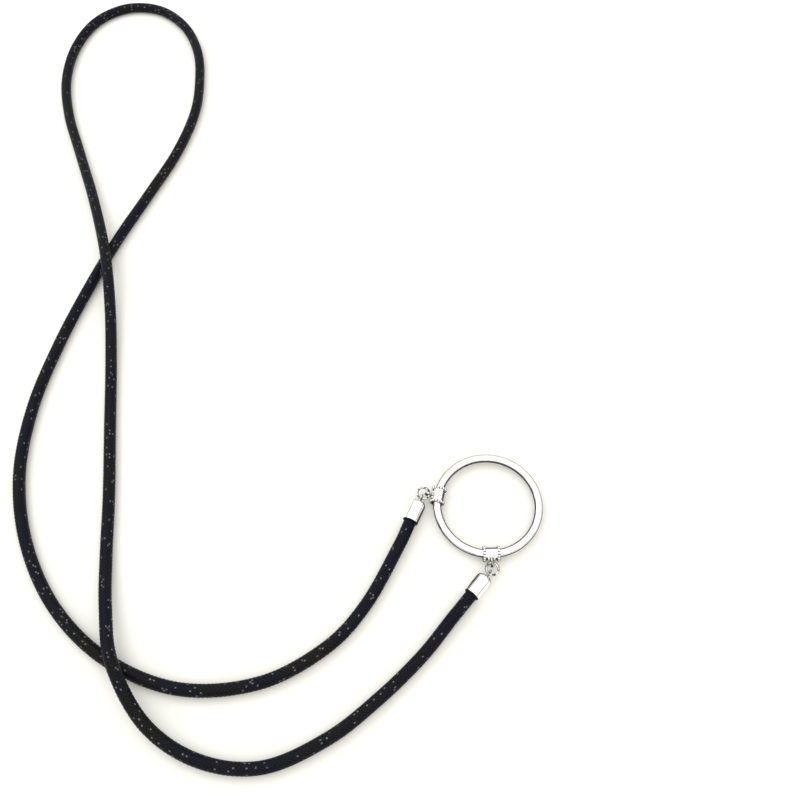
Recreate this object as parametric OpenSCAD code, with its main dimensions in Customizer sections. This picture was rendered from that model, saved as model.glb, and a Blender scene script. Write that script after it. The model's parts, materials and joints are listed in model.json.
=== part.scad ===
// Eyeglass retainer strap: a round braided neck cord whose two capped ends hang from one
// metal ring. The glasses' temple goes through the ring.
// Origin: centre of the ring, in its mid-plane. The strap lies flat, with +Z up.

/* [Cord] */
// Diameter of the braided cord
cord_d = 3.4; // [3:0.1:4]
// Diameter of the core yarns inside the braided sheath
core_d = 2.2; // [1.6:0.1:2.4]
// Sides of the cord's cross-section
cord_sides = 8; // [8:1:12]
// Sections from one route point to the next
cord_steps = 2; // [2:1:3]

/* [End caps] */
// Length of an end cap
cap_len = 6.5; // [6:0.1:8]
// Wall thickness of an end cap
cap_wall = 0.35; // [0.25:0.05:0.5]
// Thickness of the cap's closed end
cap_end_wall = 0.9; // [0.8:0.1:1.2]
// Radius of the rounding on the cap's closed end
cap_round = 1.4; // [1:0.1:1.4]
// Thickness of the glue behind the cord's end
glue_len = 0.6; // [0.4:0.1:1]
// Direction of the left cap, counted from +X
left_cap_angle = 66; // [62:1:70]
// Direction of the right cap, counted from +X
right_cap_angle = 50; // [46:1:54]

/* [Loops and jump rings] */
// Wire of the soldered loops on caps and bails
loop_wire_d = 0.55; // [0.5:0.05:0.6]
// Core diameter of a soldered loop
loop_d = 1.9; // [1.8:0.05:2]
// Wire of a jump ring
jump_wire_d = 0.6; // [0.5:0.05:0.65]
// Core diameter of a jump ring
jump_d = 3.3; // [3.2:0.05:3.6]
// Angle of the saw cut in a jump ring
jump_cut_angle = 4; // [2:1:8]

/* [Bails] */
// Length of a bail along the ring
bail_len = 4.6; // [4:0.1:5]
// Bore of a bail
bail_bore_d = 2.7; // [2.6:0.05:2.9]
// Wall thickness of a bail
bail_wall = 0.25; // [0.2:0.05:0.35]
// Diameter of the granules in the rims
rim_bead_d = 0.75; // [0.65:0.05:0.75]
// Granules in each rim
rim_bead_count = 14; // [10:1:14]
// Diameter of the granules at the foot of the loop
foot_bead_d = 0.5; // [0.4:0.05:0.55]
// Place of the left bail on the ring, counted from +X
left_bail_angle = 169; // [164:1:174]
// Place of the right bail on the ring, counted from +X
right_bail_angle = 271; // [266:1:276]

/* [Ring] */
// Outer diameter of the ring
ring_d = 30; // [29:0.5:31]
// Wire of the ring
ring_wire_d = 2.2; // [2:0.05:2.3]

/* [Hidden] */

// Facets of the round shapes on screen
$fn = 64;
// How far a cutting tool runs past the face it cuts
past = 1;

// How far a granule is sunk into the bail's surface, as a share of its diameter
bead_sink = 0.3;
// Distance of the foot granules from the loop's plane, and the angle from one to the next
foot_bead_offset = 0.75;
foot_bead_step = 20;
// Clear width of the glue film between the cord and the cap's bore
glue_film = 0.05;
// Straight length of the cord outside a cap
cord_lead = 8;

ring_r = (ring_d - ring_wire_d) / 2;
bail_bore_r = bail_bore_d / 2;
bail_r = bail_bore_r + bail_wall;
// The ring's curve leaves the bail's straight bore by this much at the bail's ends, so the
// bail sits half of it nearer to the ring's centre, with even room on both sides.
ring_sagitta = ring_r - sqrt(ring_r * ring_r - bail_len * bail_len / 4);
bail_seat_r = ring_r - ring_sagitta / 2;
loop_r = loop_d / 2;
jump_r = jump_d / 2;
cap_bore_r = cord_d / 2 + glue_film;
cap_r = cap_bore_r + cap_wall;
cap_bore_len = cap_len - cap_end_wall;
cord_insert = cap_bore_len - glue_len;

// A point at a distance and an angle from the origin, in the plane of the ring
function polar(r, angle) = r * [cos(angle), sin(angle), 0];

// Centre of the jump ring that hangs on the bail at this angle
function jump_centre(bail_angle) = polar(bail_seat_r + bail_r + loop_r + jump_r, bail_angle);
// Centre of the cap's loop, where the jump ring's wire passes through it
function cap_pivot(bail_angle, cap_angle) = jump_centre(bail_angle) - polar(jump_r, cap_angle);
// A point on the cap's axis, this far from its loop's centre towards the cord
function on_cap_axis(bail_angle, cap_angle, distance) =
    cap_pivot(bail_angle, cap_angle) - polar(distance, cap_angle);

// Distances from the loop's centre to the cap's mouth, the cord's end and the end of the
// cord's straight lead
mouth_at = loop_r + cap_len;
cord_end_at = mouth_at - cord_insert;
lead_at = mouth_at + cord_lead;

// The cord's route from the left cap to the right one. It lies at z = -0.4, and climbs over
// itself in two long humps, whose tops are at z = 3.2.
route = [
    [-33, -27.5, -0.4], [-43, -38.5, -0.4], [-59, -47, -0.4], [-79, -48.5, -0.4],
    [-98, -41.5, -0.4], [-113.5, -28.5, -0.4], [-124.5, -11, -0.4], [-130.5, 9, -0.4],
    [-131, 30, -0.4], [-127.5, 51, -0.4], [-122, 72, -0.4], [-115.5, 92, -0.4],
    [-108, 111, -0.4], [-101, 129.5, -0.4], [-97, 148, -0.4], [-97, 164.5, -0.4],
    [-99.5, 180, -0.4], [-106, 193.5, -0.4], [-116.5, 202.5, -0.4], [-129, 203.5, -0.4],
    [-139.5, 196, -0.4], [-145, 182, -0.4], [-145.5, 165, -0.4], [-141.5, 147.5, -0.4],
    [-134.5, 129.5, -0.2], [-125.5, 107, 1.1], [-117.5, 84, 3.2], [-113.5, 65, 1.1],
    [-110.5, 45.5, -0.2], [-107.5, 24, -0.4], [-104.5, 3, -0.4], [-102.5, -14, -0.2],
    [-100, -28.5, 1.1], [-95.5, -43, 3.2], [-86, -57, 1.1], [-72.5, -65, -0.2],
    [-57, -66.5, -0.4], [-41.5, -60, -0.4], [-29, -50.5, -0.4], [-18.5, -40.5, -0.4]
];

// The cord inside a cap, its mouth and its lead, from the inside out
function cord_end(bail_angle, cap_angle) = [
    for (distance = [cord_end_at, mouth_at, lead_at]) on_cap_axis(bail_angle, cap_angle, distance)
];

left_end = cord_end(left_bail_angle, left_cap_angle);
right_end = cord_end(right_bail_angle, right_cap_angle);
route_knots = concat(
    [left_end[1], left_end[2]], route, [right_end[2], right_end[1]]
);

// Catmull-Rom curve from b to c, where a and d are their neighbours and t runs from 0 to 1
function spline(a, b, c, d, t) =
    0.5 * (2 * b + (c - a) * t + (2 * a - 5 * b + 4 * c - d) * t * t
    + (3 * b - a - 3 * c + d) * t * t * t);

// The knots with one more at each end, in line with the cap's axis
padded_knots = concat(
    [2 * left_end[1] - left_end[2]], route_knots, [2 * right_end[1] - right_end[2]]
);
// The cord's centreline: straight inside the caps, and a smooth curve between them
centreline = concat(
    [left_end[0]],
    [for (i = [1 : len(route_knots) - 1], k = [0 : cord_steps - 1])
        spline(padded_knots[i - 1], padded_knots[i], padded_knots[i + 1], padded_knots[i + 2],
            k / cord_steps)],
    [right_end[1], right_end[0]]
);

function unit(v) = v / norm(v);
// Direction of a list of points at one of them
function direction(points, i) =
    unit(points[min(i + 1, len(points) - 1)] - points[max(i - 1, 0)]);
// One cross-section of radius r, square to the centreline
function section(points, i, r) =
    let (along = direction(points, i), side = unit(cross([0, 0, 1], along)), up = cross(along, side))
    [for (k = [0 : cord_sides - 1])
        let (angle = (k + 0.5) * 360 / cord_sides)
        points[i] + r * cos(angle) * side + r * sin(angle) * up];

function all_sections(points, r) = [for (i = [0 : len(points) - 1]) each section(points, i, r)];

// The triangles between two rows of vertices, a and b, that run round the cord
function band(a, b) = [
    for (k = [0 : cord_sides - 1])
    let (next = (k + 1) % cord_sides)
    each [[a + k, b + k, b + next], [a + k, b + next, a + next]]
];

// The wall of a tube whose first vertex is number start
function wall(start, sections) = [
    for (i = [0 : sections - 2])
    each band(start + i * cord_sides, start + (i + 1) * cord_sides)
];

function reversed(faces) = [for (face = faces) [face[0], face[2], face[1]]];

// A solid round bar along a list of points
module bar(points, r) {
    last = (len(points) - 1) * cord_sides;
    first_end = [for (k = [1 : cord_sides - 2]) [0, k, k + 1]];
    last_end = [for (k = [1 : cord_sides - 2]) [last, last + k + 1, last + k]];
    polyhedron(all_sections(points, r), concat(wall(0, len(points)), first_end, last_end));
}

// A hollow tube along a list of points, open at both ends
module tube(points, r, bore_r) {
    count = len(points) * cord_sides;
    last = count - cord_sides;
    polyhedron(
        concat(all_sections(points, r), all_sections(points, bore_r)),
        concat(
            wall(0, len(points)),
            reversed(wall(count, len(points))),
            reversed(band(0, count)),
            band(last, count + last)
        )
    );
}

module torus(r, wire_r) {
    rotate_extrude() translate([r, 0]) circle(wire_r);
}

// Puts its children in a bail's place: +X points out of the ring, and +Y along it
module at_bail(bail_angle) {
    rotate([0, 0, bail_angle]) translate([bail_seat_r, 0, 0]) children();
}

// Puts its children in a cap's place: the origin is its loop's centre, and +X points from
// the cord to the loop
module at_cap(bail_angle, cap_angle) {
    translate(cap_pivot(bail_angle, cap_angle)) rotate([0, 0, cap_angle]) children();
}

// A cylinder along Y, centred on the origin
module cylinder_y(r, length) {
    rotate([90, 0, 0]) cylinder(h = length, r = r, center = true);
}

// A granule that sits on the bail's surface, at an angle round its bore
module granule(d, along, angle) {
    difference() {
        rotate([0, angle, 0]) translate([bail_r + d * (0.5 - bead_sink), along, 0]) sphere(d = d, $fn = 24);
        cylinder_y(bail_r, bail_len);
    }
}

module temple_ring() {
    color("silver") torus(ring_r, ring_wire_d / 2, $fn = 128);
}

module bail(bail_angle) {
    color("gainsboro") at_bail(bail_angle) difference() {
        cylinder_y(bail_r, bail_len);
        cylinder_y(bail_bore_r, bail_len + 2 * past);
    }
}

// A ring of granules round one end of a bail. Side is 1 or -1.
module bail_rim(bail_angle, side) {
    color("darkgray") at_bail(bail_angle)
        for (i = [0 : rim_bead_count - 1])
            granule(rim_bead_d, side * (bail_len - rim_bead_d) / 2, i * 360 / rim_bead_count);
}

// Two short rows of granules, one on each side of the loop's foot
module bail_granules(bail_angle) {
    color("darkgray") at_bail(bail_angle)
        for (side = [-1, 1], i = [-1 : 1])
            granule(foot_bead_d, side * foot_bead_offset, i * foot_bead_step);
}

// A soldered loop that stands on the bail, with its hole along the ring
module bail_loop(bail_angle) {
    color("lightgray") at_bail(bail_angle) difference() {
        translate([bail_r + loop_r, 0, 0]) rotate([90, 0, 0]) torus(loop_r, loop_wire_d / 2);
        cylinder_y(bail_r, bail_len);
    }
}

// An open ring of wire. Its saw cut faces away from both loops.
module jump_ring(bail_angle, cap_angle) {
    cut_side = polar(1, bail_angle) + polar(1, cap_angle);
    color("silver")
        translate(jump_centre(bail_angle))
        rotate([0, 0, atan2(cut_side.y, cut_side.x) + jump_cut_angle / 2])
        rotate_extrude(angle = 360 - jump_cut_angle) translate([jump_r, 0]) circle(jump_wire_d / 2);
}

// A soldered loop that stands on the cap's closed end
module cap_loop(bail_angle, cap_angle) {
    color("lightgray") at_cap(bail_angle, cap_angle) difference() {
        rotate([90, 0, 0]) torus(loop_r, loop_wire_d / 2);
        translate([-loop_r - past, 0, 0]) cube(2 * [past, past, past], center = true);
    }
}

// A drawn metal cup over the cord's end
module cap(bail_angle, cap_angle) {
    color("silver") at_cap(bail_angle, cap_angle) translate([-mouth_at, 0, 0]) rotate([0, 90, 0])
        difference() {
            rotate_extrude() {
                square([cap_r, cap_len - cap_round]);
                square([cap_r - cap_round, cap_len]);
                translate([cap_r - cap_round, cap_len - cap_round]) intersection() {
                    circle(cap_round);
                    square(cap_round);
                }
            }
            translate([0, 0, -past]) cylinder(h = cap_bore_len + past, r = cap_bore_r);
        }
}

// The glue that fills the bottom of the cap behind the cord's end
module glue(bail_angle, cap_angle) {
    color("ivory") at_cap(bail_angle, cap_angle) translate([-cord_end_at, 0, 0]) rotate([0, 90, 0])
        cylinder(h = glue_len, r = cap_bore_r);
}

module cord_sheath() {
    color([0.07, 0.07, 0.08]) tube(centreline, cord_d / 2, core_d / 2);
}

module cord_core() {
    color([0.3, 0.3, 0.31]) bar(centreline, core_d / 2);
}

temple_ring();
bail(left_bail_angle);  // left_bail
bail_rim(left_bail_angle, -1);  // left_bail_upper_rim
bail_rim(left_bail_angle, 1);  // left_bail_lower_rim
bail_granules(left_bail_angle);  // left_bail_granules
bail_loop(left_bail_angle);  // left_bail_loop
bail(right_bail_angle);  // right_bail
bail_rim(right_bail_angle, 1);  // right_bail_upper_rim
bail_rim(right_bail_angle, -1);  // right_bail_lower_rim
bail_granules(right_bail_angle);  // right_bail_granules
bail_loop(right_bail_angle);  // right_bail_loop
jump_ring(left_bail_angle, left_cap_angle);  // left_jump_ring
jump_ring(right_bail_angle, right_cap_angle);  // right_jump_ring
cap_loop(left_bail_angle, left_cap_angle);  // left_cap_loop
cap_loop(right_bail_angle, right_cap_angle);  // right_cap_loop
cap(left_bail_angle, left_cap_angle);  // left_cap
cap(right_bail_angle, right_cap_angle);  // right_cap
glue(left_bail_angle, left_cap_angle);  // left_glue
glue(right_bail_angle, right_cap_angle);  // right_glue
cord_sheath();
cord_core();
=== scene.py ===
"""The looks of the eyeglass retainer strap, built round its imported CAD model.

Every place comes from the frame, from the cord's route, which part.scad also has, or from
the named values below. Lengths are in metres.
"""
import json
import math

import bmesh
import bpy
import numpy as np
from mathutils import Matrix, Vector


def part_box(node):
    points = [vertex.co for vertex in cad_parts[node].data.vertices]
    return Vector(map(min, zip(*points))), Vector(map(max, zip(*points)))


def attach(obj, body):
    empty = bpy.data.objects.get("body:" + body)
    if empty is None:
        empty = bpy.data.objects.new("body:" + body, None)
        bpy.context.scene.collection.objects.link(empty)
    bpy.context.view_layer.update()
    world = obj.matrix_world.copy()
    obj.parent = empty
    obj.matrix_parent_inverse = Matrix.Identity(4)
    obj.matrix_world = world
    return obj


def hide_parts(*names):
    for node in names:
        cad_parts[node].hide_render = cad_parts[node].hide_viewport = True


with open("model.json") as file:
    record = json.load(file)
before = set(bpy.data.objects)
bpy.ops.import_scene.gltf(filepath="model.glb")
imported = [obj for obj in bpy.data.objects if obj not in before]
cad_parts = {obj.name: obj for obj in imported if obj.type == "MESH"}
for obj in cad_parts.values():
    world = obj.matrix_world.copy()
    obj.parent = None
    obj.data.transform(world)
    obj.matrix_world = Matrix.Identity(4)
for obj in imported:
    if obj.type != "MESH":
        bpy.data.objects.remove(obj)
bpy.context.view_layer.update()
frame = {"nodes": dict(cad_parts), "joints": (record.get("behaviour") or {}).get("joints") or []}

MM = 0.001
SIDES = ("left", "right")
UP = np.array([0.0, 0.0, 1.0])

# The camera looks down at this point of the floor, from this far, tilted from the vertical
CAMERA_AIM = (-0.0241, 0.0337)
CAMERA_DISTANCE = 0.2547
CAMERA_TILT = math.radians(28)
CAMERA_LENS_MM = 38.9

# The cord's route from the left cap to the right one, the same points as in part.scad, in
# millimetres
ROUTE = MM * np.array([
    (-33.0, -27.5, -0.4), (-43.0, -38.5, -0.4), (-59.0, -47.0, -0.4), (-79.0, -48.5, -0.4),
    (-98.0, -41.5, -0.4), (-113.5, -28.5, -0.4), (-124.5, -11.0, -0.4), (-130.5, 9.0, -0.4),
    (-131.0, 30.0, -0.4), (-127.5, 51.0, -0.4), (-122.0, 72.0, -0.4), (-115.5, 92.0, -0.4),
    (-108.0, 111.0, -0.4), (-101.0, 129.5, -0.4), (-97.0, 148.0, -0.4), (-97.0, 164.5, -0.4),
    (-99.5, 180.0, -0.4), (-106.0, 193.5, -0.4), (-116.5, 202.5, -0.4), (-129.0, 203.5, -0.4),
    (-139.5, 196.0, -0.4), (-145.0, 182.0, -0.4), (-145.5, 165.0, -0.4), (-141.5, 147.5, -0.4),
    (-134.5, 129.5, -0.2), (-125.5, 107.0, 1.1), (-117.5, 84.0, 3.2), (-113.5, 65.0, 1.1),
    (-110.5, 45.5, -0.2), (-107.5, 24.0, -0.4), (-104.5, 3.0, -0.4), (-102.5, -14.0, -0.2),
    (-100.0, -28.5, 1.1), (-95.5, -43.0, 3.2), (-86.0, -57.0, 1.1), (-72.5, -65.0, -0.2),
    (-57.0, -66.5, -0.4), (-41.5, -60.0, -0.4), (-29.0, -50.5, -0.4), (-18.5, -40.5, -0.4),
])
CORD_D = 3.4 * MM
CORE_D = 2.2 * MM
# Straight stretches of the cord inside a cap and in front of it
CORD_INSERT = 5.0 * MM
CORD_LEAD = 8.0 * MM

# The braid: strands in each direction, how far a strand goes along the cord while it moves
# round by one strand, how high a strand waves over and under, and how much it is crowned
BRAID_STRANDS = 12
BRAID_ADVANCE = 1.06 * MM
BRAID_WAVE = 0.075 * MM
BRAID_CROWN = 0.11 * MM
# Share of the braid's crossings where the yarn catches the light
GLINT_SHARE = 0.08

# The metal pieces' details that the frame doesn't give
LOOP_WIRE_D = 0.55 * MM
BAIL_WALL = 0.25 * MM
CAP_WALL = 0.35 * MM
CAP_END_WALL = 0.9 * MM
CAP_ROUND = 1.4 * MM
# Width of the painted shade along the edge of a cap's mouth, in the gap where the cap meets the
# cord
MOUTH_SHADE_WIDTH = 0.25 * MM
# The granules round a bail's ends, and those beside its loop's foot: how far along the bail
# and how far apart round it. Each is sunk into the bail by a share of its diameter
RIM_BEAD_D = 0.75 * MM
RIM_BEADS = 14
FOOT_BEAD_D = 0.5 * MM
FOOT_BEAD_OFFSET = 0.75 * MM
FOOT_BEAD_STEP = math.radians(20)
BEAD_SINK = 0.3
# The saw cut in a jump ring, and the radius of the metal's worn edges
JUMP_CUT = math.radians(4)
EDGE_ROUND = 0.08 * MM
# How much thicker the solder makes a loop's wire at its foot
SOLDER = 0.14 * MM

# How many steps or sides make each round shape look round
RING_STEPS = 256
RING_WIRE_SIDES = 40
JUMP_STEPS = 96
LOOP_STEPS = 64
WIRE_SIDES = 24
CAP_SIDES = 64
BAIL_SIDES = 12 * RIM_BEADS
BEAD_SIDES = 14

# Radius of the patch of floor round the ring that reflections show painted dark, and how soft its
# edge is
SHADED_FLOOR_REFLECTION_R = 21 * MM
SHADED_FLOOR_REFLECTION_EDGE = 2 * MM
# Half a side of the floor
FLOOR_HALF = 3.0
# The light of the room, and the window high up behind the strap on the left
ROOM_STRENGTH = 1.28
WINDOW_PLACE = (-0.45, 0.35, 0.60)
WINDOW_SIZE = 0.45
WINDOW_POWER = 1.0
WINDOW_COLOUR = (0.88, 0.94, 1.0)


# ------------------------------------------------------------------ places from the frame

def unit(v):
    return v / np.linalg.norm(v)


def box_size(node):
    low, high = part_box(node)
    return high - low


def joint_place(name):
    """A point on a joint's axis."""
    joint = next(j for j in frame["joints"] if j["name"] == name)
    return np.array(joint["pos_m"], float)


def ring_sizes(node):
    """Core radius and wire radius of a ring that lies flat."""
    size = box_size(node)
    return (size.x - size.z) / 2, size.z / 2


def cylinder_sizes(node, axis):
    """Radius and length of a round piece that lies flat along the unit vector axis."""
    points = np.array([v.co for v in frame["nodes"][node].data.vertices], float)
    along = points @ axis
    return box_size(node).z / 2, along.max() - along.min()


class StrapEnd:
    """The places and sizes of the pieces at one end of the cord."""

    def __init__(self, side):
        self.side = side
        self.bail_loop = joint_place(side + "_bail_swing")
        self.cap_loop = joint_place(side + "_link_swing")
        self.out = unit(self.bail_loop)
        self.jump_r, self.jump_wire_r = ring_sizes(side + "_jump_ring")
        self.jump = self.bail_loop + self.jump_r * self.out
        self.cap_axis = unit(self.jump - self.cap_loop)
        self.bail_r, self.bail_len = cylinder_sizes(side + "_bail", np.cross(UP, self.out))
        self.cap_r, self.cap_len = cylinder_sizes(side + "_cap", self.cap_axis)
        self.loop_r = (box_size(side + "_cap_loop").z - LOOP_WIRE_D) / 2
        self.bail = self.bail_loop - (self.bail_r + self.loop_r) * self.out
        self.mouth_at = self.loop_r + self.cap_len

    def on_cap_axis(self, distance):
        """A point on the cap's axis, this far from its loop's centre towards the cord."""
        return self.cap_loop - distance * self.cap_axis


FLOOR_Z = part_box("left_cap")[0].z
ends = {side: StrapEnd(side) for side in SIDES}


# ------------------------------------------------------------------ camera

def add_camera():
    camera = bpy.data.objects.new("camera", bpy.data.cameras.new("camera"))
    back = np.array([0.0, -math.sin(CAMERA_TILT), math.cos(CAMERA_TILT)])
    camera.location = np.array([*CAMERA_AIM, FLOOR_Z]) + CAMERA_DISTANCE * back
    camera.rotation_euler = (CAMERA_TILT, 0, 0)
    camera.data.lens = CAMERA_LENS_MM
    camera.data.clip_start = 5 * MM
    bpy.context.scene.collection.objects.link(camera)
    bpy.context.scene.camera = camera


# ------------------------------------------------------------------ meshes

def grid_faces(rows, columns, closed_rows=False):
    """Faces of a grid of rows whose columns run round and close."""
    faces = []
    for i in range(rows if closed_rows else rows - 1):
        for j in range(columns):
            k = (j + 1) % columns
            n = (i + 1) % rows
            faces.append((i * columns + j, i * columns + k, n * columns + k, n * columns + j))
    return faces


def end_faces(rows, sides):
    """The two faces that close a tube of points at its first and its last row."""
    return [tuple(reversed(range(sides))), tuple(range((rows - 1) * sides, rows * sides))]


def shifted(faces, start):
    """The faces again, for points that come this far on in a longer list."""
    return [tuple(v + start for v in face) for face in faces]


def reversed_faces(faces):
    return [tuple(reversed(face)) for face in faces]


def joined(parts):
    """One list of points and one of faces from several pairs of them."""
    points, faces = [], []
    for part_points, part_faces in parts:
        faces += shifted(part_faces, sum(len(p) for p in points))
        points.append(np.asarray(part_points, float))
    return np.concatenate(points), faces


def place(points, origin, x_axis):
    """Points from a local frame with this +X and the same +Z into the strap's frame."""
    points = np.asarray(points, float)
    y_axis = np.cross(UP, x_axis)
    return origin + points[:, :1] * x_axis + points[:, 1:2] * y_axis + points[:, 2:] * UP


def face_outwards(mesh):
    """Turns the faces of a closed mesh so that all of them face outwards."""
    work = bmesh.new()
    work.from_mesh(mesh)
    bmesh.ops.recalc_face_normals(work, faces=work.faces)
    work.to_mesh(mesh)
    work.free()


def piece(name, shape, body, material, replaces=()):
    """Makes a smooth mesh piece that rides on a body and stands for CAD nodes."""
    points, faces = shape
    mesh = bpy.data.meshes.new(name)
    mesh.from_pydata([tuple(p) for p in points], [], faces)
    face_outwards(mesh)
    mesh.shade_smooth()
    mesh.materials.append(material)
    made = bpy.data.objects.new(name, mesh)
    bpy.context.scene.collection.objects.link(made)
    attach(made, body)
    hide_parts(*replaces)
    return made


# ------------------------------------------------------------------ the cord

def spline(a, b, c, d, t):
    """Catmull-Rom curve from b to c, where a and d are their neighbours."""
    return 0.5 * (2 * b + (c - a) * t + (2 * a - 5 * b + 4 * c - d) * t ** 2
                  + (3 * b - a - 3 * c + d) * t ** 3)


def cord_line(steps=40):
    """Points along the middle of the cord, from inside the left cap to inside the right one."""
    left, right = ([end.on_cap_axis(end.mouth_at + d) for d in (-CORD_INSERT, 0, CORD_LEAD)]
                   for end in ends.values())
    knots = [left[1], left[2], *ROUTE, right[2], right[1]]
    padded = [2 * left[1] - left[2], *knots, 2 * right[1] - right[2]]
    curve = [spline(*padded[i:i + 4], k / steps)
             for i in range(len(knots) - 1) for k in range(steps)]
    return np.array([left[0], *curve, right[1], right[0]])


def length_along(line):
    return np.concatenate([[0], np.cumsum(np.linalg.norm(np.diff(line, axis=0), axis=1))])


def resampled(line, count):
    """The line again as that many points, evenly spaced."""
    along = length_along(line)
    at = np.linspace(0, along[-1], count)
    return np.stack([np.interp(at, along, line[:, axis]) for axis in range(3)], axis=1)


def sections(line, angles, radii):
    """Points round a line: for each of its points a row of angles and a row of radii."""
    along = np.gradient(line, axis=0)
    along /= np.linalg.norm(along, axis=1)[:, None]
    side = np.cross(UP, along)
    side /= np.linalg.norm(side, axis=1)[:, None]
    up = np.cross(along, side)
    ring = (np.cos(angles) * radii)[..., None] * side[:, None] \
        + (np.sin(angles) * radii)[..., None] * up[:, None]
    return (line[:, None] + ring).reshape(-1, 3)


def braid_height(a, b):
    """Height of the braid's surface. a and b count the strands of the two directions.

    Each strand goes over two strands of the other direction and then under two.
    """
    best = np.full(a.shape, -np.inf)
    for nudge in (-0.25, 0.25):
        i, j = np.floor(a + nudge), np.floor(b + nudge)
        wave_a = BRAID_WAVE * np.sin((b + i) * math.pi / 2)
        wave_b = -BRAID_WAVE * np.sin((a + j) * math.pi / 2)
        best = np.maximum(best, wave_a - BRAID_CROWN * (2 * (a - i) - 1) ** 2)
        best = np.maximum(best, wave_b - BRAID_CROWN * (2 * (b - j) - 1) ** 2)
    return best


def braid_faces(rows, columns):
    """Diamond faces whose edges follow the strands, where every second row is half a step on.

    Triangles fill the first row's gaps. Those of the last row leave slits, inside the cap.
    """
    faces = []
    for k in range(rows - 2):
        odd = k % 2
        for m in range(columns):
            before, after = (m - 1 + odd) % columns, (m + odd) % columns
            faces.append((k * columns + m, (k + 1) * columns + after,
                          (k + 2) * columns + m, (k + 1) * columns + before))
    last = (rows - 1) * columns
    for m in range(columns):
        following = (m + 1) % columns
        faces.append((m, following, columns + m))
        faces.append((last + m, last - columns + m, last - columns + following))
    return faces


def add_braided_sheath(line, material):
    """The woven tube round the cord, as one mesh with a bore for the core."""
    columns = 2 * BRAID_STRANDS
    rows = 2 * round(length_along(line)[-1] / BRAID_ADVANCE * 2) + 1
    centres = resampled(line, rows)
    row = np.arange(rows)[:, None]
    step = np.arange(columns)[None, :] + (row % 2) / 2
    angles = step * 2 * math.pi / columns
    a, b = step / 2 + row / 4, step / 2 - row / 4
    outside = sections(centres, angles, CORD_D / 2 - BRAID_WAVE + braid_height(a, b))

    bore_rows = 193
    bore_angles = np.tile(np.arange(columns) * 2 * math.pi / columns, (bore_rows, 1))
    bore_line = resampled(line, bore_rows)
    bore = sections(bore_line, bore_angles, np.full(bore_angles.shape, CORE_D / 2))
    start = rows * columns
    faces = braid_faces(rows, columns)
    faces += shifted(reversed_faces(grid_faces(bore_rows, columns)), start)
    for outer_row, bore_row, turned in ((0, 0, True), (rows - 1, bore_rows - 1, False)):
        for m in range(columns):
            n = (m + 1) % columns
            face = (outer_row * columns + m, outer_row * columns + n,
                    start + bore_row * columns + n, start + bore_row * columns + m)
            faces.append(tuple(reversed(face)) if turned else face)
    sheath = piece("braided_sheath", (np.concatenate([outside, bore]), faces), "strap",
                   material, ["cord_sheath"])

    strands = np.zeros((len(sheath.data.loops), 2))
    corner_vertices = np.zeros(len(sheath.data.loops), int)
    sheath.data.loops.foreach_get("vertex_index", corner_vertices)
    on_outside = corner_vertices < start
    strands[on_outside, 0] = a.ravel()[corner_vertices[on_outside]]
    strands[on_outside, 1] = b.ravel()[corner_vertices[on_outside]]
    mend_seam(sheath.data, strands, BRAID_STRANDS)
    layer = sheath.data.uv_layers.new(name="strands")
    layer.data.foreach_set("uv", strands.astype(np.float32).ravel())
    return sheath, centres


def mend_seam(mesh, strands, turn):
    """Adds a whole turn to the corners of a face that are on the far side of the seam."""
    for face in mesh.polygons:
        corners = np.array(face.loop_indices)
        behind = strands[corners].sum(axis=1)
        late = behind < behind.max() - turn
        strands[corners[late]] += turn


def add_core_yarns(line, material):
    """The bundle of twisted yarns inside the sheath."""
    lobes, sides, rows = 6, 24, 385
    twist_length = 24 * MM
    lobe_depth = 0.12
    centres = resampled(line, rows)
    turns = np.linspace(0, length_along(line)[-1] / twist_length, rows)[:, None]
    local = np.arange(sides)[None, :] * 2 * math.pi / sides
    radii = CORE_D / 2 * (1 - lobe_depth * np.abs(np.sin(local * lobes / 2))) * np.ones((rows, 1))
    points = sections(centres, local + turns * 2 * math.pi, radii - EDGE_ROUND)
    faces = grid_faces(rows, sides) + end_faces(rows, sides)
    return piece("core_yarns", (points, faces), "strap", material, ["cord_core"])


# ------------------------------------------------------------------ the metal pieces

def revolved(profile, sides, closed=True):
    """An outline of (x, radius) points, turned round the local X axis.

    An outline that isn't closed gets a flat face at each end.
    """
    profile = np.asarray(profile, float)
    angles = np.arange(sides) * 2 * math.pi / sides
    x = np.repeat(profile[:, :1], sides, axis=1)
    y = profile[:, 1:] * np.cos(angles)
    z = profile[:, 1:] * np.sin(angles)
    points = np.stack([x, y, z], axis=2).reshape(-1, 3)
    faces = grid_faces(len(profile), sides, closed_rows=closed)
    if not closed:
        faces += end_faces(len(profile), sides)
    return points, faces


def arc(centre, r, first, last, steps):
    """Points of an arc in degrees round a centre, ends included."""
    angles = np.radians(np.linspace(first, last, steps + 1))
    return [(centre[0] + r * math.cos(t), centre[1] + r * math.sin(t)) for t in angles]


def wire_points(core_r, wire, turn, sides):
    """Points of a ring of round wire in the local XY plane, with a wire radius at each turn."""
    round_wire = np.arange(sides)[None, :] * 2 * math.pi / sides
    out = core_r + wire * np.cos(round_wire)
    points = np.stack([out * np.cos(turn), out * np.sin(turn), wire * np.sin(round_wire)], axis=2)
    return points.reshape(-1, 3)


def wire_ring(core_r, wire_r, steps, sides, swell=None):
    """A closed ring of round wire. swell gives the wire's extra radius."""
    turn = np.arange(steps)[:, None] * 2 * math.pi / steps
    wire = wire_r + (swell(turn) if swell else 0 * turn)
    return wire_points(core_r, wire, turn, sides), grid_faces(steps, sides, closed_rows=True)


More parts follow.
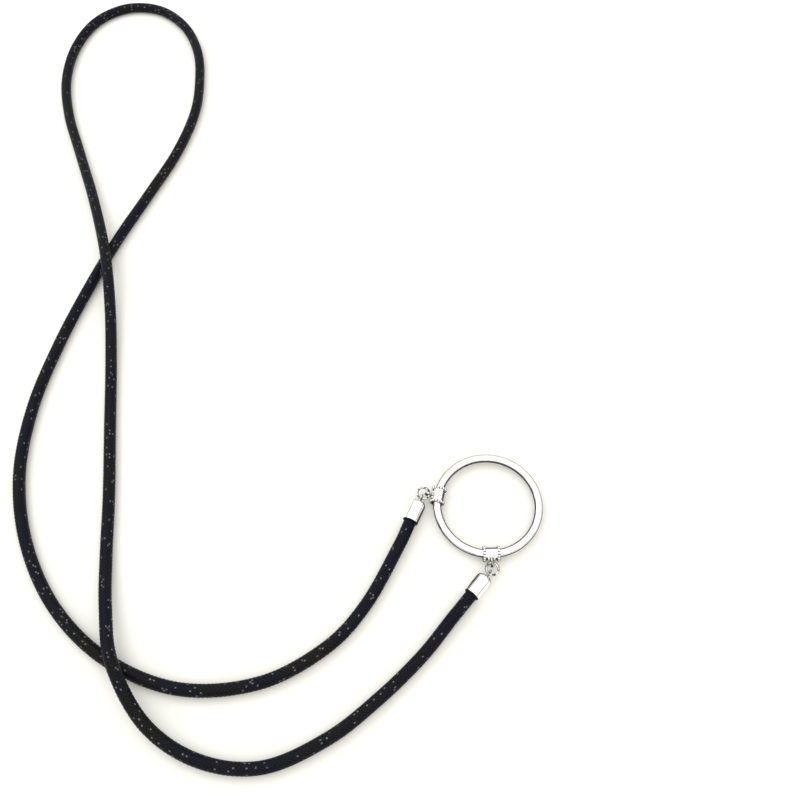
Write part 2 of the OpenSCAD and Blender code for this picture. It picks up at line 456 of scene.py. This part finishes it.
def open_wire_ring(core_r, wire_r, cut, steps, sides):
    """A ring of round wire with a saw cut at local +X, whose edges are a little rounded."""
    edge = EDGE_ROUND / core_r
    shoulder = 0.3
    start = [cut / 2, cut / 2 + edge * shoulder, cut / 2 + edge]
    middle = np.linspace(cut / 2, 2 * math.pi - cut / 2, steps)[1:-1]
    turn = np.array([*start, *middle, *(2 * math.pi - t for t in reversed(start))])[:, None]
    wire = np.full(turn.shape, wire_r)
    wire[[0, -1]] -= EDGE_ROUND
    wire[[1, -2]] -= EDGE_ROUND * shoulder
    faces = grid_faces(len(turn), sides) + end_faces(len(turn), sides)
    return wire_points(core_r, wire, turn, sides), faces


def standing(points):
    """Local points of a ring in the XY plane, turned to stand in the XZ plane."""
    points = np.asarray(points, float)
    return np.stack([points[:, 0], -points[:, 2], points[:, 1]], axis=1)


def cap_profile(end):
    """Outline of a cap: along its bore to its mouth at x = 0, and back to its closed end."""
    bore_r, bore_len = end.cap_r - CAP_WALL, end.cap_len - CAP_END_WALL
    lip = EDGE_ROUND
    straight, flat_r = end.cap_len - CAP_ROUND, end.cap_r - CAP_ROUND
    outside = arc((lip, end.cap_r - lip), lip, 180, 90, 4)
    outside += [(MOUTH_SHADE_WIDTH * share, end.cap_r) for share in (0.95, 1.05)]
    outside += [(straight * share, end.cap_r) for share in (0.1, 0.5, 0.9)]
    outside += arc((straight, flat_r), CAP_ROUND, 90, 0, 12)
    outside += [(end.cap_len, flat_r * share) for share in (0.6, 0.3, 0.03)]
    inside = [(bore_len, bore_r * 0.02), (bore_len, bore_r * 0.6)]
    inside += [(bore_len, bore_r - lip), (bore_len - lip, bore_r), (lip * 2, bore_r)]
    return inside + arc((lip, bore_r + lip), lip, 270, 180, 4) + outside


def bail_profile(end):
    """Outline of a bail: a round barrel whose two ends have soft edges, and its bore."""
    half, r, bore_r = end.bail_len / 2, end.bail_r, end.bail_r - BAIL_WALL
    lip = EDGE_ROUND
    rim = [half - RIM_BEAD_D * share for share in (0.25, 0.5, 0.75, 0.9, 1.05)]
    middle = [half * share for share in (0.4, 0)]
    outside = arc((-half + lip, r - lip), lip, 180, 90, 4)
    outside += [(x, r) for x in sorted({side * x for x in rim + middle for side in (-1, 1)})]
    outside += arc((half - lip, r - lip), lip, 90, 0, 4)
    inside = arc((half - lip, bore_r + lip), lip, 0, -90, 4)
    inside += [(share * half, bore_r) for share in (0.5, 0, -0.5)]
    return outside + inside + arc((-half + lip, bore_r + lip), lip, 270, 180, 4)


def granule(d, along, angle, bail_r):
    """A ball soldered on a bail, whose axis is local Y, with a low foot of solder round it."""
    centre = bail_r + d * (0.5 - BEAD_SINK)
    foot = [(bail_r - 0.04 * MM, d * 0.51), (bail_r + 0.01 * MM, d * 0.49)]
    ball = arc((centre, 0), d / 2, 108, 6, 8)
    points, faces = revolved(foot + ball, BEAD_SIDES, closed=False)
    c, s = math.cos(angle), math.sin(angle)
    turned = np.stack([points[:, 0] * c + points[:, 2] * s, points[:, 1] + along,
                       points[:, 2] * c - points[:, 0] * s], axis=1)
    return turned, faces


def along_y(points):
    """Local points of a piece revolved about X, turned so that its axis is Y."""
    points = np.asarray(points, float)
    return np.stack([-points[:, 1], points[:, 0], points[:, 2]], axis=1)


def fillet(turn):
    """Extra wire radius of a loop near its foot, where solder runs up the wire."""
    spread = 0.5
    return SOLDER * np.exp(-((turn - math.pi) / spread) ** 2)


def kept_outside(points, r):
    """Local points moved out to a distance r from the Y axis where they are nearer to it."""
    distance = np.hypot(points[:, 0], points[:, 2])
    grown = np.maximum(distance, r) / distance
    return points * np.stack([grown, np.ones_like(grown), grown], axis=1)


def loop_shape(end):
    """A soldered loop in the local XZ plane, with its foot at -X."""
    points, faces = wire_ring(end.loop_r, LOOP_WIRE_D / 2, LOOP_STEPS, WIRE_SIDES, fillet)
    return standing(points), faces


def add_cap(end, material, wire_material):
    points, faces = revolved(cap_profile(end), CAP_SIDES, closed=False)
    mouth = end.on_cap_axis(end.mouth_at)
    side = end.side
    cap = piece(side + "_end_cap", (place(points, mouth, end.cap_axis), faces), "strap",
                material, [side + "_cap"])
    # Painted shade along the cap's mouth, in the gap where the cap meets the cord
    store_painted_shade(cap, np.where(points[:, 0] < MOUTH_SHADE_WIDTH, 1, 0))
    points, faces = loop_shape(end)
    piece(side + "_cap_eye", (place(points, end.cap_loop, end.cap_axis), faces), "strap",
          wire_material, [side + "_cap_loop"])


def add_jump_ring(end, material):
    points, faces = open_wire_ring(end.jump_r, end.jump_wire_r, JUMP_CUT, JUMP_STEPS, WIRE_SIDES)
    away_from_loops = unit(end.out + end.cap_axis)
    piece(end.side + "_jump_link", (place(points, end.jump, away_from_loops), faces),
          end.side + "_link", material, [end.side + "_jump_ring"])


def add_bail(end, barrel_material, bead_material, wire_material):
    """A bail's barrel, its loop, its two rims of granules and the granules at the loop's foot."""
    side, body = end.side, end.side + "_bail_unit"

    def add(name, shape, material, node):
        points, faces = shape
        made = piece(side + name, (place(points, end.bail, end.out), faces), body,
                     material, [side + node])
        # Painted shade in the gaps between the granules
        mark_shade_between_granules(made, end)

    points, faces = revolved(bail_profile(end), BAIL_SIDES)
    add("_bail_barrel", (along_y(points), faces), barrel_material, "_bail")

    points, faces = loop_shape(end)
    points[:, 0] += end.bail_r + end.loop_r
    points = kept_outside(points, end.bail_r - BAIL_WALL / 2)
    add("_bail_eye", (points, faces), wire_material, "_bail_loop")

    rim_at = (end.bail_len - RIM_BEAD_D) / 2
    for name, node, place_along in rims_of(end, rim_at):
        beads = [granule(RIM_BEAD_D, place_along, k * 2 * math.pi / RIM_BEADS, end.bail_r)
                 for k in range(RIM_BEADS)]
        add(name, joined(beads), bead_material, node)

    beads = [granule(FOOT_BEAD_D, y, k * FOOT_BEAD_STEP, end.bail_r)
             for y in (-FOOT_BEAD_OFFSET, FOOT_BEAD_OFFSET) for k in (-1, 0, 1)]
    add("_foot_beads", joined(beads), bead_material, "_bail_granules")


def rims_of(end, at):
    """Name, CAD node and place along the bail of its two rims, from where their nodes are."""
    for rim in ("upper", "lower"):
        node = "_bail_" + rim + "_rim"
        low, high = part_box(end.side + node)
        along = (np.array(low + high) / 2 - end.bail) @ np.cross(UP, end.out)
        yield "_" + rim + "_bead_rim", node, math.copysign(at, along)


def ramp(value, start, end):
    """0 at start, 1 at end, and in proportion between them."""
    return np.clip((value - start) / (end - start), 0, 1)


def mark_shade_between_granules(made, end):
    """Stores how deep each point lies between two granules, where painted shade darkens the
    silver.
    """
    points = np.array([v.co for v in made.data.vertices], float) - end.bail
    along = points @ np.cross(UP, end.out)
    up, out = points @ UP, points @ end.out
    height = np.hypot(up, out) - end.bail_r
    beads = np.arctan2(up, out) / (2 * math.pi) * RIM_BEADS
    from_bead = np.abs(beads - np.round(beads))
    off_rim = np.abs(np.abs(along) - (end.bail_len - RIM_BEAD_D) / 2) / RIM_BEAD_D
    low = ramp(height / RIM_BEAD_D, 0.52, 0.12)
    between = ramp(from_bead, 0.26, 0.40) * ramp(off_rim, 0.56, 0.44)
    outside = height > -BAIL_WALL / 5
    store_painted_shade(made, np.where(outside, low * between, 0))


def store_painted_shade(made, painted_shade):
    """Stores how dark the painted shade makes the silver at each point of a mesh."""
    made.data.attributes.new("painted_shade", "FLOAT", "POINT")
    made.data.attributes["painted_shade"].data.foreach_set("value", painted_shade.astype(np.float32))


def add_temple_ring(material):
    shape = wire_ring(*ring_sizes("temple_ring"), RING_STEPS, RING_WIRE_SIDES)
    piece("round_ring", shape, "ring", material, ["temple_ring"])


# ------------------------------------------------------------------ materials

def add_node(tree, kind, inputs=(), **settings):
    """Adds a shader node. An input is a value, or a socket that is linked to it."""
    made = tree.nodes.new(kind)
    for key, value in settings.items():
        setattr(made, key, value)
    for key, value in dict(inputs).items():
        if isinstance(value, bpy.types.NodeSocket):
            tree.links.new(value, made.inputs[key])
        else:
            made.inputs[key].default_value = value
    return made


def new_material(name, **constants):
    """A material and its nodes, with the shader's constant inputs set."""
    material = bpy.data.materials.new(name)
    material.use_nodes = True
    tree = material.node_tree
    shader = tree.nodes["Principled BSDF"]
    for key, value in constants.items():
        shader.inputs[key.replace("_", " ")].default_value = value
    return material, tree, shader


def noise(tree, vector, scale, detail=3.0, rough=0.55):
    """A noise texture's value. scale is in features to the unit of the vector."""
    return add_node(tree, "ShaderNodeTexNoise", {
        "Vector": vector, "Scale": scale, "Detail": detail, "Roughness": rough}).outputs[0]


def math_node(tree, operation, first, second=None):
    inputs = {0: first} if second is None else {0: first, 1: second}
    return add_node(tree, "ShaderNodeMath", inputs, operation=operation).outputs[0]


def mapped(tree, value, low, high, to_low=0, to_high=1):
    """A value moved from one range to another, and kept in it."""
    return add_node(tree, "ShaderNodeMapRange", {
        "Value": value, "From Min": low, "From Max": high,
        "To Min": to_low, "To Max": to_high}).outputs[0]


def blended(tree, share, first, second):
    """Two colours or colour sockets mixed by a share."""
    return add_node(tree, "ShaderNodeMix", {0: share, 6: first, 7: second},
                    data_type="RGBA").outputs[2]


def grey(value, warmth=0.0):
    return (value * (1 + warmth), value, value * (1 - warmth), 1)


def bumped(tree, shader, height, depth, strength=1.0):
    """Gives the shader a bump of this depth in metres."""
    bump = add_node(tree, "ShaderNodeBump", {
        "Height": height, "Distance": depth, "Strength": strength})
    tree.links.new(bump.outputs[0], shader.inputs["Normal"])


def object_place(tree):
    """Where a point is on its object, in metres."""
    return add_node(tree, "ShaderNodeTexCoord").outputs["Object"]


def feed(tree, shader, **sockets):
    """Links each socket to the shader's input of that name."""
    for key, socket in sockets.items():
        tree.links.new(socket, shader.inputs[key.replace("_", " ")])


def silver(name, bright, dull, rough, clouds_per_metre=420):
    """Polished silver plate: clouds of tarnish, fine wipe marks, and painted shade in its
    recesses and along a cap's mouth.
    """
    material, tree, shader = new_material(name, Metallic=1.0)
    position = object_place(tree)
    painted_shade = add_node(tree, "ShaderNodeAttribute", attribute_name="painted_shade").outputs["Fac"]
    clouds = mapped(tree, noise(tree, position, clouds_per_metre), 0.38, 0.62)
    clean = blended(tree, clouds, grey(dull, warmth=0.015), grey(bright))
    # Colour of the painted shade between granules and along a cap's mouth
    painted_shade_colour = grey(0.03, warmth=0.05)

    # The wipe marks are long in one slanting direction and fine across it
    wipes_at = add_node(tree, "ShaderNodeMapping", {
        "Vector": position, "Rotation": (0.4, 0.7, 0.9), "Scale": (1, 9, 9)}).outputs[0]
    wipes = noise(tree, wipes_at, 900, detail=5.0, rough=0.7)
    polish = mapped(tree, wipes, 0.3, 0.7, *rough)
    rough_recess = math_node(tree, "MULTIPLY", painted_shade, 0.35)
    feed(tree, shader, Base_Color=blended(tree, painted_shade, clean, painted_shade_colour),
         Roughness=math_node(tree, "ADD", polish, rough_recess))
    bumped(tree, shader, wipes, depth=0.004 * MM, strength=0.5)
    return material


def off_middle(tree, strand):
    """How far a point is from the middle of its strand, from 0 to 0.5 at the strand's edge."""
    across = math_node(tree, "SUBTRACT", math_node(tree, "FRACT", strand), 0.5)
    return math_node(tree, "ABSOLUTE", across)


def braid_material():
    """Black polyester yarns: satin filaments that run along each strand of the braid, with
    painted shade towards each strand's edges.
    """
    # Colour of the painted shade at a strand's edges
    strand_edge_shade = (0.001, 0.001, 0.001, 1)
    fresh_colours = (0.002, 0.002, 0.005, 1), (0.013, 0.015, 0.030, 1)
    worn_colours = (0.003, 0.003, 0.002, 1), (0.022, 0.021, 0.018, 1)
    glint_colour = (0.25, 0.26, 0.29, 1)

    material, tree, shader = new_material("braided_polyester", Specular_IOR_Level=0.07)
    strands = add_node(tree, "ShaderNodeUVMap", uv_map="strands").outputs[0]
    a, b = add_node(tree, "ShaderNodeSeparateXYZ", {0: strands}).outputs[:2]
    i, j = math_node(tree, "FLOOR", a), math_node(tree, "FLOOR", b)
    crossing = math_node(tree, "FLOORED_MODULO", math_node(tree, "ADD", i, j), 4.0)
    a_on_top = math_node(tree, "LESS_THAN", crossing, 2.0)

    def of_top_strand(value_a, value_b):
        change = math_node(tree, "SUBTRACT", value_a, value_b)
        return math_node(tree, "ADD", value_b, math_node(tree, "MULTIPLY", change, a_on_top))

    # Filaments are thin across a strand and long along it
    filaments_across, filaments_along = 11.0, 1.3
    fibres = []
    for across, along in ((a, b), (b, a)):
        at = add_node(tree, "ShaderNodeCombineXYZ", {
            0: math_node(tree, "MULTIPLY", across, filaments_across),
            1: math_node(tree, "MULTIPLY", along, filaments_along)}).outputs[0]
        fibres.append(noise(tree, at, 1.0, detail=2.0, rough=0.5))
    fibre = of_top_strand(*fibres)
    bright_fibre = mapped(tree, fibre, 0.35, 0.65)
    off_a, off_b = off_middle(tree, a), off_middle(tree, b)
    # Painted shade: a strand is painted nearly black towards its edges, where it dips under its
    # neighbours, and keeps its yarn colour on its crown
    crown_vs_edge_shade = mapped(tree, of_top_strand(off_a, off_b), 0.48, 0.2)

    wear = mapped(tree, noise(tree, object_place(tree), 60), 0.4, 0.7)
    fresh = blended(tree, bright_fibre, *fresh_colours)
    worn = blended(tree, bright_fibre, *worn_colours)
    plain = blended(tree, crown_vs_edge_shade, strand_edge_shade, blended(tree, wear, fresh, worn))

    # On a few crossings, picked at random, the filaments catch the light
    crossing_at = add_node(tree, "ShaderNodeCombineXYZ", {0: i, 1: j}).outputs[0]
    chance = add_node(tree, "ShaderNodeTexWhiteNoise", {"Vector": crossing_at}).outputs["Value"]
    picked = math_node(tree, "LESS_THAN", chance, GLINT_SHARE)
    spot = math_node(tree, "MULTIPLY", *(mapped(tree, off, 0.45, 0.15) for off in (off_a, off_b)))
    glint = math_node(tree, "MULTIPLY", math_node(tree, "MULTIPLY", spot, picked),
                      mapped(tree, fibre, 0.44, 0.56))
    feed(tree, shader, Base_Color=blended(tree, glint, plain, glint_colour),
         Roughness=mapped(tree, fibre, 0.3, 0.7, 0.55, 0.32))
    bumped(tree, shader, fibre, depth=0.03 * MM, strength=0.9)
    return material


def speckled_material(name, roughness, speckles, colours, depth):
    """A dull material with speckles of noise between two colours, raised by this depth."""
    material, tree, shader = new_material(name, Roughness=roughness)
    pattern = noise(tree, object_place(tree), **speckles)
    feed(tree, shader, Base_Color=blended(tree, pattern, *colours))
    bumped(tree, shader, pattern, depth)
    return material


def core_material():
    """Dull grey spun yarn, seen only if the cord is cut."""
    return speckled_material("core_yarn", 0.9, {"scale": 2500, "detail": 4.0},
                             (grey(0.03), grey(0.12)), 0.05 * MM)


def glue_material():
    """Clear epoxy that has yellowed a little and holds small bubbles."""
    return speckled_material("epoxy", 0.3, {"scale": 3000, "detail": 2.0},
                             ((0.50, 0.40, 0.22, 1), (0.75, 0.66, 0.45, 1)), 0.03 * MM)


# ------------------------------------------------------------------ floor and light

def add_floor():
    corners = [(x * FLOOR_HALF, y * FLOOR_HALF, FLOOR_Z)
               for x, y in ((-1, -1), (1, -1), (1, 1), (-1, 1))]
    mesh = bpy.data.meshes.new("floor")
    mesh.from_pydata(corners, [], [(0, 1, 2, 3)])
    floor = bpy.data.objects.new("floor", mesh)
    bpy.context.scene.collection.objects.link(floor)
    material, tree, shader = new_material("white_paper", Roughness=0.75)
    position = object_place(tree)
    paper = blended(tree, noise(tree, position, 900),
                    (0.90, 0.90, 0.89, 1), (0.93, 0.93, 0.925, 1))
    # Painted reflection: the floor round the ring is dark only to reflected rays, so the polished
    # ring mirrors painted shade that the camera doesn't see
    from_ring = add_node(tree, "ShaderNodeVectorMath", {0: position},
                         operation="LENGTH").outputs["Value"]
    near_ring = mapped(tree, from_ring, SHADED_FLOOR_REFLECTION_R, SHADED_FLOOR_REFLECTION_R + SHADED_FLOOR_REFLECTION_EDGE, 1, 0)
    mirrored = add_node(tree, "ShaderNodeLightPath").outputs["Is Glossy Ray"]
    painted_dark_reflection = math_node(tree, "MULTIPLY", near_ring, mirrored)
    feed(tree, shader, Base_Color=blended(tree, painted_dark_reflection, paper, grey(0.02)))
    mesh.materials.append(material)


def add_window():
    """A large, soft light from behind on the left, aimed where the camera looks."""
    data = bpy.data.lights.new("window", "AREA")
    data.shape = "DISK"
    data.size = WINDOW_SIZE
    data.energy = WINDOW_POWER
    data.color = WINDOW_COLOUR
    light = bpy.data.objects.new("window", data)
    light.location = WINDOW_PLACE
    aim = np.array([*CAMERA_AIM, FLOOR_Z]) - np.array(WINDOW_PLACE)
    from_z = math.atan2(math.hypot(aim[0], aim[1]), -aim[2])
    light.rotation_euler = (from_z, 0, math.atan2(aim[1], aim[0]) - math.pi / 2)
    bpy.context.scene.collection.objects.link(light)


def add_world():
    """A room with a dark strip along the horizon, a few gaps in it and a bright, warm ceiling."""
    world = bpy.data.worlds.new("room")
    bpy.context.scene.world = world
    world.use_nodes = True
    tree = world.node_tree
    dark, bright = (0.03, 0.03, 0.035, 1), (1.0, 0.985, 0.91, 1)
    behind_floor = (0.85, 0.84, 0.82, 1)
    strip_low, strip_high = 0.10, 0.26
    direction = add_node(tree, "ShaderNodeTexCoord").outputs["Generated"]
    height = add_node(tree, "ShaderNodeSeparateXYZ", {0: direction}).outputs[2]
    gaps = mapped(tree, noise(tree, direction, 2.2, detail=1.0), 0.56, 0.62, 0, 0.8)
    ceiling = mapped(tree, height, strip_low, strip_high)
    room = blended(tree, math_node(tree, "MAXIMUM", ceiling, gaps), dark, bright)
    seen = add_node(tree, "ShaderNodeLightPath").outputs["Is Camera Ray"]
    tree.links.new(blended(tree, seen, room, behind_floor),
                   tree.nodes["Background"].inputs["Color"])
    tree.nodes["Background"].inputs["Strength"].default_value = ROOM_STRENGTH


# ------------------------------------------------------------------ the strap

add_camera()
cord_middle = cord_line()
sheath, sheath_path = add_braided_sheath(cord_middle, braid_material())
core = add_core_yarns(cord_middle, core_material())
ends["left"].on_cap_axis(ends["left"].mouth_at)

ring_silver = silver("ring_silver", bright=0.97, dull=0.91, rough=(0.02, 0.05))
cap_silver = silver("cap_silver", bright=0.97, dull=0.91, rough=(0.14, 0.24))
wire_silver = silver("wire_silver", bright=0.92, dull=0.05, rough=(0.04, 0.10),
                     clouds_per_metre=1300)
bail_silver = silver("bail_silver", bright=0.97, dull=0.88, rough=(0.06, 0.14))
bead_silver = silver("bead_silver", bright=0.97, dull=0.88, rough=(0.05, 0.12))
epoxy = glue_material()
add_temple_ring(ring_silver)
for end in ends.values():
    add_cap(end, cap_silver, wire_silver)
    add_jump_ring(end, wire_silver)
    add_bail(end, bail_silver, bead_silver, wire_silver)
    glue = frame["nodes"][end.side + "_glue"]
    glue.data.materials.clear()
    glue.data.materials.append(epoxy)

add_floor()
add_world()
add_window()
bpy.context.scene.view_settings.view_transform = "Standard"
